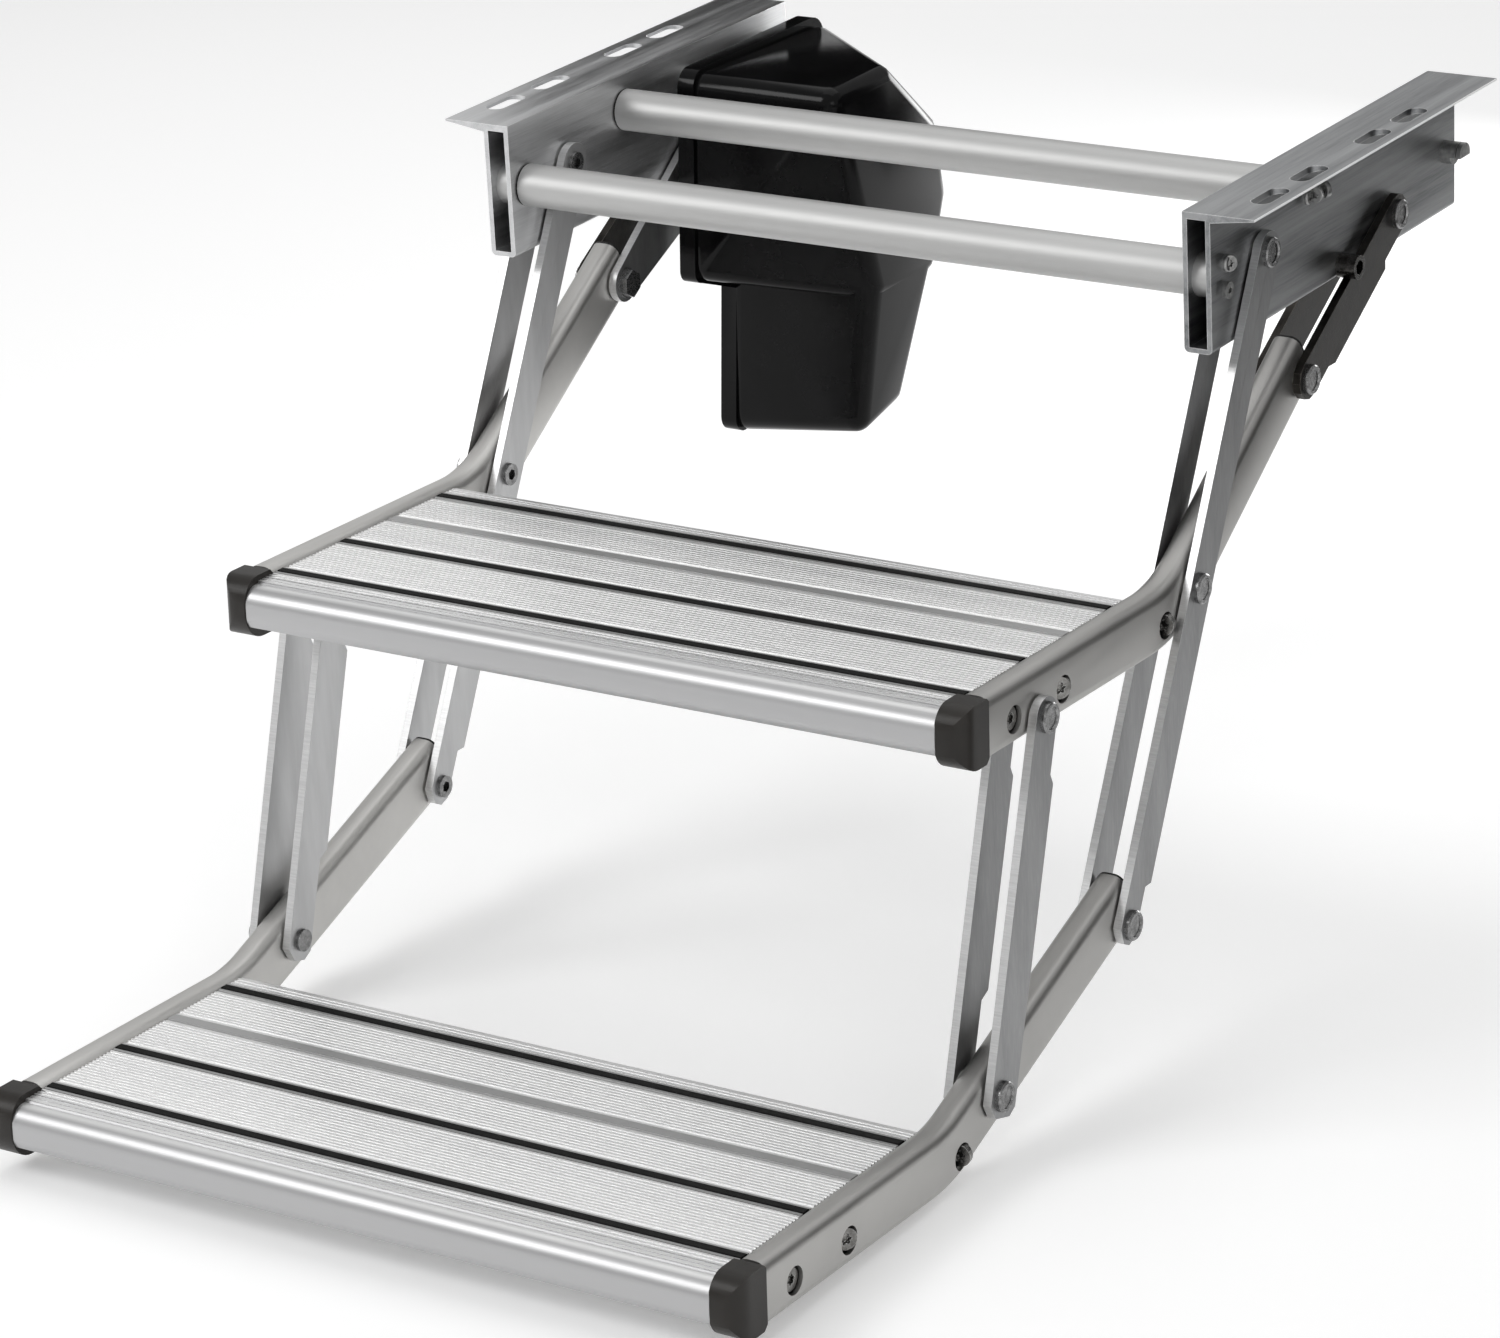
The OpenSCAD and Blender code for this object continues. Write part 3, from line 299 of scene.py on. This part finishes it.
def sawnBarMetal(name, look):
    # flat bar: matte grey faces, bright sawn edges all round the outline
    material, tree, shader = newMaterial(name, metallic=1.0)
    across = mathNode(tree, "ABSOLUTE", along(tree, "Normal", "X"))
    onFace = mathNode(tree, "GREATER_THAN", across, look["faceFrom"])
    drawn = place(tree, drawnGrain, Stretch=(1.0, 0.5, 0.07), Fine=1300.0, Broad=110.0)
    sawn = place(tree, drawnGrain, Stretch=(0.06, 1.0, 1.0), Fine=1100.0, Broad=400.0)
    face = mixColour(tree, remap(tree, drawn.outputs["Broad"], 0.35, 0.65), look["faceDark"], look["face"])
    face = mixColour(tree, remap(tree, drawn.outputs["Fine"], 0.45, 0.8, 0.0, 0.1), face, look["cut"])
    cut = mixColour(tree, remap(tree, sawn.outputs["Fine"], 0.35, 0.65), look["cutDark"], look["cut"])
    tree.links.new(mixColour(tree, onFace, cut, face), shader.inputs["Base Color"])
    rough = remap(tree, onFace, 0.0, 1.0, look["cutRough"], look["rough"])
    tree.links.new(rough, shader.inputs["Roughness"])
    addBump(tree, shader, drawn.outputs["Height"], look["bump"])
    return material


darkSteelLook = {"dark": (0.024, 0.022, 0.02), "rubbed": (0.05, 0.046, 0.042), "edge": (0.38, 0.36, 0.33),
                 "edgeRadius": 0.0006, "edgeShare": 0.7, "rough": (0.3, 0.44), "bump": 0.00008}


def darkSteel(look):
    # burnished flat steel: brown-black with lighter rubbed patches
    material, tree, shader = newMaterial("dark steel", metallic=1.0)
    grain = place(tree, drawnGrain, Stretch=(1.0, 1.0, 1.0), Fine=900.0, Broad=70.0)
    patch = remap(tree, grain.outputs["Broad"], 0.42, 0.68)
    base = mixColour(tree, patch, look["dark"], look["rubbed"])
    # edges lighter, partly as wear and partly as painted edge highlights
    edge = place(tree, wornEdgesAndGlints, Radius=look["edgeRadius"]).outputs["Edge"]
    base = mixColour(tree, mathNode(tree, "MULTIPLY", edge, look["edgeShare"]), base, look["edge"])
    tree.links.new(base, shader.inputs["Base Color"])
    tree.links.new(remap(tree, patch, 0.0, 1.0, *look["rough"]), shader.inputs["Roughness"])
    addBump(tree, shader, grain.outputs["Height"], look["bump"])
    return material


def turnedSteel(name, look):
    # turned or plated steel: fine rings from the lathe, bright rims that are partly wear and partly painted glints
    material, tree, shader = newMaterial(name, metallic=1.0)
    grain = place(tree, drawnGrain, Stretch=(1.0, 1.0, 1.0), Fine=1800.0, Broad=300.0)
    base = mixColour(tree, remap(tree, grain.outputs["Broad"], 0.35, 0.7), look["dark"], look["light"])
    edge = place(tree, wornEdgesAndGlints, Radius=0.0005).outputs["Edge"]
    base = mixColour(tree, mathNode(tree, "MULTIPLY", edge, look["edgeShare"]), base, look["edge"])
    tree.links.new(base, shader.inputs["Base Color"])
    rough = remap(tree, grain.outputs["Fine"], 0.3, 0.7, look["rough"][0], look["rough"][1])
    tree.links.new(rough, shader.inputs["Roughness"])
    addBump(tree, shader, grain.outputs["Height"], 0.00003)
    return material


pinLook = {"dark": (0.16, 0.16, 0.16), "light": (0.34, 0.34, 0.34), "edge": (0.8, 0.8, 0.8), "edgeShare": 0.45,
           "rough": (0.22, 0.34)}
stopLook = {"dark": (0.035, 0.033, 0.03), "light": (0.11, 0.105, 0.1), "edge": (0.5, 0.49, 0.47), "edgeShare": 0.5,
            "rough": (0.2, 0.3)}
# the head's bright edge colour is a painted glint
headSteelLook = {"dark": (0.14, 0.137, 0.13), "light": (0.3, 0.295, 0.285), "edge": (0.95, 0.95, 0.94),
                 "edgeShare": 0.8, "rough": (0.2, 0.3)}
screwLook = {"dark": (0.24, 0.24, 0.24), "light": (0.42, 0.42, 0.41), "edge": (0.7, 0.7, 0.7), "edgeShare": 0.6,
             "rough": (0.34, 0.48)}


def mouldedPlastic(name, look):
    # injection-moulded plastic: fine spark texture, edges a little lighter as wear and as painted edge highlights,
    # soft sheen
    material, tree, shader = newMaterial(name, Specular_IOR_Level=look["shine"])
    grain = place(tree, drawnGrain, Stretch=(1.0, 1.0, 1.0), Fine=2600.0, Broad=30.0)
    base = mixColour(tree, remap(tree, grain.outputs["Broad"], 0.4, 0.65), look["dark"], look["light"])
    edge = place(tree, wornEdgesAndGlints, Radius=0.0007).outputs["Edge"]
    base = mixColour(tree, mathNode(tree, "MULTIPLY", edge, 0.5), base, look["edge"])
    tree.links.new(base, shader.inputs["Base Color"])
    rough = remap(tree, grain.outputs["Fine"], 0.35, 0.65, look["rough"][0], look["rough"][1])
    tree.links.new(rough, shader.inputs["Roughness"])
    addBump(tree, shader, grain.outputs["Fine"], look["bump"])
    return material


capLook = {"dark": (0.013, 0.011, 0.009), "light": (0.018, 0.015, 0.012), "edge": (0.03, 0.027, 0.023), "shine": 0.35,
           "rough": (0.36, 0.44), "bump": 0.00005}
plugLook = {"dark": (0.012, 0.012, 0.012), "light": (0.018, 0.018, 0.018), "edge": (0.05, 0.05, 0.05), "shine": 0.4,
            "rough": (0.5, 0.6), "bump": 0.00008}
washerLook = {"dark": (0.55, 0.55, 0.53), "light": (0.66, 0.66, 0.63), "edge": (0.75, 0.75, 0.72), "shine": 0.5,
              "rough": (0.5, 0.6), "bump": 0.00003}
coverLook = {"dark": (0.003, 0.003, 0.0032), "light": (0.005, 0.005, 0.0053), "edge": (0.012, 0.012, 0.013),
             "shine": 0.14, "rough": (0.09, 0.13), "bump": 0.00002}
motorLook = {"dark": (0.03, 0.03, 0.032), "light": (0.045, 0.045, 0.048), "edge": (0.2, 0.2, 0.2), "shine": 0.5,
             "rough": (0.32, 0.42), "bump": 0.00005}


rubberLook = {"dark": (0.004, 0.004, 0.004), "light": (0.009, 0.009, 0.009), "shine": 0.12, "rough": (0.55, 0.72),
              "bump": 0.00012}


def stripRubber(look):
    # black anti-slip strip: matte, with a fine grain
    material, tree, shader = newMaterial("strip rubber", Specular_IOR_Level=look["shine"])
    grain = place(tree, drawnGrain, Stretch=(1.0, 1.0, 1.0), Fine=2200.0, Broad=50.0)
    base = mixColour(tree, remap(tree, grain.outputs["Broad"], 0.35, 0.7), look["dark"], look["light"])
    tree.links.new(base, shader.inputs["Base Color"])
    tree.links.new(remap(tree, grain.outputs["Fine"], 0.3, 0.7, *look["rough"]), shader.inputs["Roughness"])
    addBump(tree, shader, grain.outputs["Fine"], look["bump"])
    return material


materials = {
    "rail_aluminium": extrudedMetal("rail aluminium", railLook),
    "left_rail": extrudedMetal("left rail aluminium painted lighter", leftRailPaintedLightLook),
    "tube_aluminium": extrudedMetal("tube aluminium", tubeLook),
    "arm_aluminium": extrudedMetal("arm aluminium", armLook),
    "bar_aluminium": sawnBarMetal("bar aluminium", barLook),
    "dark_steel": darkSteel(darkSteelLook),
    "pin_steel": turnedSteel("pin steel", pinLook),
    "deploy_stops": turnedSteel("stop steel", stopLook),
    "screw_steel": turnedSteel("screw steel", screwLook),
    "head_steel": turnedSteel("head steel", headSteelLook),
    "cap_plastic": mouldedPlastic("cap plastic", capLook),
    "plug_plastic": mouldedPlastic("plug plastic", plugLook),
    "washer_plastic": mouldedPlastic("washer nylon", washerLook),
    "cover_plastic": mouldedPlastic("cover plastic", coverLook),
    "gear_casting": extrudedMetal("gear casting", castLook),
    "motor_steel": mouldedPlastic("motor paint", motorLook),
    "strip_rubber": stripRubber(rubberLook),
}
# the left-hand bars and arms take their copies painted lighter, which stand for the light on that side
leftBarsPaintedLight = sawnBarMetal("left bar aluminium painted lighter", leftBarPaintedLightLook)
leftArmsPaintedLight = extrudedMetal("left arm aluminium painted lighter", leftArmPaintedLightLook)
for name in ("swing_bar_outer_left", "swing_bar_inner_left", "lower_link_outer_left", "lower_link_inner_left"):
    materials[name] = leftBarsPaintedLight
for name in ("upper_arm_left", "lower_arm_left"):
    materials[name] = leftArmsPaintedLight
for name in ("upper_tread", "lower_tread"):
    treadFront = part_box(name)[0][1]
    materials[name] = extrudedMetal(name.replace("_", " ") + " aluminium", dict(treadLook, front=treadFront))


nodeFinish = {"weld": 0.005 * mm, "sharpAngle": 28, "edgeRadius": 0.2, "edgeAngle": 40, "edgeSteps": 2}
edgeRadius = {
    "left_rail": 0.25, "right_rail": 0.25, "motor_cover": 0.0, "upper_tread": 0.0, "lower_tread": 0.0,
    "upper_arm_left": 0.0, "upper_arm_right": 0.0, "lower_arm_left": 0.0, "lower_arm_right": 0.0,
    "upper_nose_caps": 0.0, "lower_nose_caps": 0.0, "upper_tread_strips": 0.0, "lower_tread_strips": 0.0,
    "motor_plate": 0.0,
}


def makeSoftEdges():
    # welds a node's loose faces, so that flat faces shade flat and round ones round
    group = bpy.data.node_groups.new("soft edges", "GeometryNodeTree")
    group.interface.new_socket("Geometry", in_out="INPUT", socket_type="NodeSocketGeometry")
    group.interface.new_socket("Geometry", in_out="OUTPUT", socket_type="NodeSocketGeometry")
    entry = addNode(group, "NodeGroupInput")
    out = addNode(group, "NodeGroupOutput")
    noCustom = addNode(group, "GeometryNodeRemoveAttribute")
    noCustom.inputs["Name"].default_value = "custom_normal"
    weld = addNode(group, "GeometryNodeMergeByDistance")
    weld.inputs["Distance"].default_value = nodeFinish["weld"]
    angle = addNode(group, "GeometryNodeInputMeshEdgeAngle")
    sharp = addNode(group, "FunctionNodeCompare", data_type="FLOAT", operation="GREATER_THAN")
    sharp.inputs[1].default_value = math.radians(nodeFinish["sharpAngle"])
    faces = addNode(group, "GeometryNodeSetShadeSmooth", domain="FACE")
    faces.inputs["Shade Smooth"].default_value = True
    allEdges = addNode(group, "GeometryNodeSetShadeSmooth", domain="EDGE")
    allEdges.inputs["Shade Smooth"].default_value = True
    edges = addNode(group, "GeometryNodeSetShadeSmooth", domain="EDGE")
    edges.inputs["Shade Smooth"].default_value = False
    link = group.links.new
    link(entry.outputs[0], noCustom.inputs["Geometry"])
    link(noCustom.outputs[0], weld.inputs["Geometry"])
    link(weld.outputs[0], faces.inputs["Geometry"])
    link(faces.outputs[0], allEdges.inputs["Geometry"])
    link(allEdges.outputs[0], edges.inputs["Geometry"])
    link(angle.outputs["Unsigned Angle"], sharp.inputs[0])
    link(sharp.outputs[0], edges.inputs["Selection"])
    link(edges.outputs[0], out.inputs[0])
    return group


softEdges = makeSoftEdges()


def finishNode(name, slotName):
    node = nodes[name]
    for slot in node.material_slots:
        slot.material = materials.get(name) or materials[slotName]
    weld = node.modifiers.new("soft edges", "NODES")
    weld.node_group = softEdges
    radius = edgeRadius.get(name, nodeFinish["edgeRadius"]) * mm
    if radius:
        bevel = node.modifiers.new("broken edges", "BEVEL")
        bevel.width = radius
        bevel.segments = nodeFinish["edgeSteps"]
        bevel.limit_method = "ANGLE"
        bevel.angle_limit = math.radians(nodeFinish["edgeAngle"])
        bevel.use_clamp_overlap = True
        bevel.harden_normals = True


for part in frame["record"]["subparts"]:
    finishNode(part["node"], part["material_slot"])
print("nodes finished")


# Star-socket heads

headLook = {"points": 24, "armRadius": 6.4 * mm, "armHeight": 4.0 * mm, "armDeep": 2.2 * mm, "railRadius": 4.7 * mm,
            "railHeight": 2.8 * mm, "railProud": 0.1 * mm, "socket": 0.5, "pinch": 0.7, "socketDepth": 0.6,
            "rim": 0.5 * mm, "apart": 13 * mm, "turn": 0.7}


def chooseOnly(mesh, faceTest=None, vertexTest=None):
    # selects in object mode the faces or the vertices that pass a test
    for item in [*mesh.vertices, *mesh.edges, *mesh.polygons]:
        item.select = False
    if faceTest:
        for face in mesh.polygons:
            face.select = faceTest(face)
    if vertexTest:
        for vertex in mesh.vertices:
            vertex.select = vertexTest(vertex)


def modelStarHead(name, radius, height):
    # a round head with a six-pointed socket, face up at z = 0
    bpy.ops.object.select_all(action="DESELECT")
    bpy.ops.mesh.primitive_cylinder_add(vertices=headLook["points"], radius=radius, depth=height,
                                        location=(0, 0, -height / 2))
    head = bpy.context.active_object
    head.name = name
    bpy.ops.object.transform_apply(location=True, rotation=True, scale=True)
    mesh = head.data
    chooseOnly(mesh, faceTest=lambda face: face.normal.z > 0.9)
    bpy.ops.object.mode_set(mode="EDIT")
    bpy.ops.mesh.select_mode(type="FACE")
    bpy.ops.mesh.inset(thickness=radius * (1 - headLook["socket"]))
    bpy.ops.object.mode_set(mode="OBJECT")
    step = math.tau / headLook["points"]

    def betweenPoints(vertex):
        where = vertex.co
        inner = abs(where.z) < 0.01 * mm and where.xy.length < radius * (headLook["socket"] + 0.05)
        return inner and round(math.atan2(where.y, where.x) / step) % 4 in (0, 1)

    chooseOnly(mesh, vertexTest=betweenPoints)
    bpy.ops.object.mode_set(mode="EDIT")
    bpy.ops.mesh.select_mode(type="VERT")
    pinch = headLook["pinch"]
    bpy.ops.transform.resize(value=(pinch, pinch, 1.0), center_override=(0, 0, 0))
    bpy.ops.object.mode_set(mode="OBJECT")
    chooseOnly(mesh, faceTest=lambda face: face.normal.z > 0.9 and face.center.xy.length < 0.1 * radius)
    bpy.ops.object.mode_set(mode="EDIT")
    bpy.ops.mesh.select_mode(type="FACE")
    bpy.ops.mesh.extrude_region_move(
        TRANSFORM_OT_translate={"value": (0, 0, -height * headLook["socketDepth"])})
    bpy.ops.object.mode_set(mode="OBJECT")
    bevel = head.modifiers.new("rim", "BEVEL")
    bevel.width = headLook["rim"]
    bevel.segments = 2
    bevel.limit_method = "ANGLE"
    bpy.ops.object.modifier_apply(modifier="rim")
    return head


def pieceCentres(name, side):
    # centres in Y and Z of a node's separate screws on one side of the step
    groups = []
    for vertex in nodes[name].data.vertices:
        if vertex.co.x * side < 0:
            continue
        for group in groups:
            if (group[0].yz - vertex.co.yz).length < headLook["apart"]:
                group.append(vertex.co)
                break
        else:
            groups.append([vertex.co])
    centres = []
    for group in groups:
        ys = [p.y for p in group]
        zs = [p.z for p in group]
        centres.append(((min(ys) + max(ys)) / 2, (min(zs) + max(zs)) / 2))
    return centres


def setHeads(pattern, name, body, face, finish="head_steel"):
    # one copy of the head over each screw of a node, its face at X = face on the right-hand side
    for side in (-1, 1):
        for n, (y, z) in enumerate(pieceCentres(name, side)):
            head = pattern.copy()
            head.data = pattern.data.copy()
            head.name = f"{name}_head_{'right' if side > 0 else 'left'}_{n}"
            bpy.context.scene.collection.objects.link(head)
            bpy.ops.object.select_all(action="DESELECT")
            head.select_set(True)
            bpy.context.view_layer.objects.active = head
            head.location = (side * face, y, z)
            head.rotation_euler = (headLook["turn"] * n, side * math.pi / 2, 0)
            bpy.ops.object.transform_apply(location=True, rotation=True, scale=True)
            head.data.materials.append(materials[finish])
            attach(head, body)


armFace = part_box("upper_arm_right")[1][0]
armHead = modelStarHead("arm_head", headLook["armRadius"], headLook["armHeight"])
setHeads(armHead, "upper_tread_screws", "upper_step", armFace - headLook["armDeep"])
setHeads(armHead, "lower_tread_screws", "lower_step", armFace - headLook["armDeep"])
bpy.data.objects.remove(armHead)
railHead = modelStarHead("rail_head", headLook["railRadius"], headLook["railHeight"])
setHeads(railHead, "tube_screws", "frame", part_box("tube_screws")[1][0] + headLook["railProud"],
         "screw_steel")
bpy.data.objects.remove(railHead)
print("star-socket heads set")


# Stage, light and camera

low, high = cadBox
middle = (low + high) / 2
stageLook = {"floorGap": 4 * mm, "floorSize": 14.0, "white": (0.93, 0.93, 0.93), "floorGlow": 0.2, "ambient": 0.48,
             "card": (0.01, 0.01, 0.01)}
cardPlaces = {  # corner, one side and the other side, in metres
    "floor card": ((0.6, -0.25, low.z - 2 * mm), (2.4, 0, 0), (0.3, 3.4, 0)),
    "standing card": ((1.05, 1.9, low.z), (1.5, -1.9, 0), (0, 0, 1.4)),
    "cover card": ((-0.49, 0.26, 0.0), (0.27, 0.176, 0), (0.048, -0.073, 0.224)),
}
lampPlaces = {  # place and size in metres, power in watts
    "key": ((-1.6, -2.2, 1.7), (1.5, 1.1), 30.0),
    "fill": ((2.2, -1.9, 0.7), (1.2, 1.2), 7.0),
    "top": ((-0.1, 0.5, 2.2), (2.5, 2.5), 18.0),
    "back": ((-1.35, 1.75, 0.75), (1.7, 1.2), 2.0),
    "side": ((0.12, 1.5, -0.1), (0.6, 0.6), 7.0),
}
cameraLook = {"place": (1.54171, -2.60947, 0.84024), "right": (0.84728, 0.52894, -0.04839),
              "up": (-0.15437, 0.33238, 0.93043), "ahead": (-0.50822, 0.78086, -0.36327), "lens": 129.97,
              "sensor": 36.0}


def makeStage():
    bpy.ops.object.select_all(action="DESELECT")
    bpy.ops.mesh.primitive_plane_add(size=stageLook["floorSize"], location=(0, 0, low.z - stageLook["floorGap"]))
    floor = bpy.context.active_object
    floor.name = "floor"
    material, tree, shader = newMaterial("pale floor", roughness=0.85, Specular_IOR_Level=0.1)
    shader.inputs["Base Color"].default_value = (*stageLook["white"], 1.0)
    shader.inputs["Emission Color"].default_value = (1.0, 1.0, 1.0, 1.0)
    path = addNode(tree, "ShaderNodeLightPath")
    shown = mathNode(tree, "MAXIMUM", path.outputs["Is Camera Ray"], path.outputs["Is Transmission Ray"])
    shown = mathNode(tree, "MAXIMUM", shown, path.outputs["Is Glossy Ray"])
    tree.links.new(mathNode(tree, "MULTIPLY", shown, stageLook["floorGlow"]), shader.inputs["Emission Strength"])
    floor.data.materials.append(material)
    world = bpy.data.worlds.new("studio")
    bpy.context.scene.world = world
    world.use_nodes = True
    background = world.node_tree.nodes["Background"]
    background.inputs["Strength"].default_value = stageLook["ambient"]
    background.inputs["Color"].default_value = (1.0, 1.0, 1.0, 1.0)


def makeCard(name, corner, side, rise):
    # black card that no camera sees, which keeps the right-hand sides and the cover dark, as in a studio
    bpy.ops.object.select_all(action="DESELECT")
    bpy.ops.mesh.primitive_plane_add(size=1.0)
    card = bpy.context.active_object
    card.name = name
    corner, side, rise = Vector(corner), Vector(side), Vector(rise)
    for vertex in card.data.vertices:
        vertex.co = corner + side * (vertex.co.x + 0.5) + rise * (vertex.co.y + 0.5)
    material, tree, shader = newMaterial(name, roughness=0.9, Specular_IOR_Level=0.0)
    shader.inputs["Base Color"].default_value = (*stageLook["card"], 1.0)
    card.data.materials.append(material)
    card.visible_camera = False
    card.visible_shadow = False
    card.visible_diffuse = False


def softLamp(name, spot, size, power):
    lamp = bpy.data.lights.new(name, "AREA")
    lamp.shape = "RECTANGLE"
    lamp.size, lamp.size_y = size
    lamp.energy = power
    holder = bpy.data.objects.new(name, lamp)
    bpy.context.scene.collection.objects.link(holder)
    holder.location = spot
    holder.rotation_mode = "QUATERNION"
    holder.rotation_quaternion = (middle - Vector(spot)).to_track_quat("-Z", "Y")
    holder.visible_camera = False
    return holder


def makeCamera():
    camera = bpy.data.cameras.new("camera")
    holder = bpy.data.objects.new("camera", camera)
    bpy.context.scene.collection.objects.link(holder)
    right, up, ahead = (Vector(cameraLook[way]) for way in ("right", "up", "ahead"))
    turn = Matrix((right, up, -ahead)).transposed().to_4x4()
    holder.matrix_world = Matrix.Translation(cameraLook["place"]) @ turn
    camera.lens = cameraLook["lens"]
    camera.sensor_width = cameraLook["sensor"]
    camera.sensor_fit = "HORIZONTAL"
    bpy.context.scene.camera = holder


makeStage()
for name, sides in cardPlaces.items():
    makeCard(name, *sides)
for name, values in lampPlaces.items():
    softLamp(name, *values)
makeCamera()
bpy.context.scene.view_settings.view_transform = "Standard"
print("stage, light and camera set")
